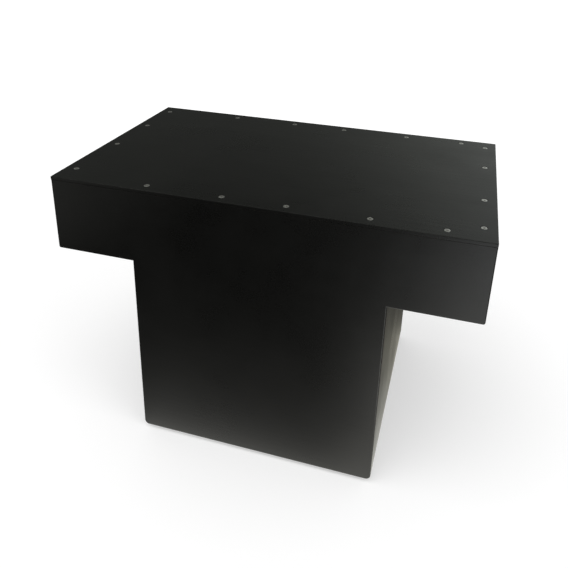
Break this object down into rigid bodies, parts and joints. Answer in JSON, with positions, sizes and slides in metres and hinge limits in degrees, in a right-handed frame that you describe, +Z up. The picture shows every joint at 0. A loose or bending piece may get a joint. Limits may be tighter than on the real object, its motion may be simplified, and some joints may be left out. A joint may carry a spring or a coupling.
{
  "type": "slaptop cajon",
  "caption": "T-shaped plywood lap drum with a thin screwed-on playing plate, a round sound port behind, inner snares and rubber feet.",
  "frame": {"origin": "on the floor under the middle of the drum, level with the undersides of the feet", "axes": "+X to the right of a viewer facing the closed T-shaped panel, +Y from that panel to the one with the sound port, +Z up to the playing plate"},
  "size_m": [0.5, 0.305, 0.345],
  "materials": {
    "black_paint": "satin black paint on plywood, with a fine roller texture",
    "bare_wood": "bare planed softwood",
    "screw_metal": "dull zinc plate",
    "snare_steel": "bright steel wire and strip",
    "foot_rubber": "matt black moulded rubber"
  },
  "bodies": {
    "root": {"top_plate": "black_paint", "top_plate_screw_01": "screw_metal", "top_plate_screw_02": "screw_metal", "top_plate_screw_03": "screw_metal", "top_plate_screw_04": "screw_metal", "top_plate_screw_05": "screw_metal", "top_plate_screw_06": "screw_metal", "top_plate_screw_07": "screw_metal", "top_plate_screw_08": "screw_metal", "top_plate_screw_09": "screw_metal", "top_plate_screw_10": "screw_metal", "top_plate_screw_11": "screw_metal", "top_plate_screw_12": "screw_metal", "top_plate_screw_13": "screw_metal", "top_plate_screw_14": "screw_metal", "top_plate_screw_15": "screw_metal", "top_plate_screw_16": "screw_metal", "top_plate_screw_17": "screw_metal", "top_plate_screw_18": "screw_metal", "front_panel": "black_paint", "rear_panel": "black_paint", "left_end_panel": "black_paint", "left_wing_floor": "black_paint", "leg_left_side": "black_paint", "right_end_panel": "black_paint", "right_wing_floor": "black_paint", "leg_right_side": "black_paint", "leg_floor": "black_paint", "front_top_batten": "bare_wood", "rear_top_batten": "bare_wood", "left_top_batten": "bare_wood", "right_top_batten": "bare_wood", "leg_batten_front_left": "bare_wood", "leg_batten_front_right": "bare_wood", "leg_batten_rear_left": "bare_wood", "leg_batten_rear_right": "bare_wood", "left_snare_bar": "bare_wood", "left_snare_wires": "snare_steel", "left_snare_clamp": "snare_steel", "left_snare_screw_front": "screw_metal", "left_snare_screw_rear": "screw_metal", "right_snare_bar": "bare_wood", "right_snare_wires": "snare_steel", "right_snare_clamp": "snare_steel", "right_snare_screw_front": "screw_metal", "right_snare_screw_rear": "screw_metal", "foot_front_left": "foot_rubber", "foot_front_right": "foot_rubber", "foot_rear_left": "foot_rubber", "foot_rear_right": "foot_rubber", "foot_screw_front_left": "screw_metal", "foot_screw_front_right": "screw_metal", "foot_screw_rear_left": "screw_metal", "foot_screw_rear_right": "screw_metal"}
  },
  "joints": []
}
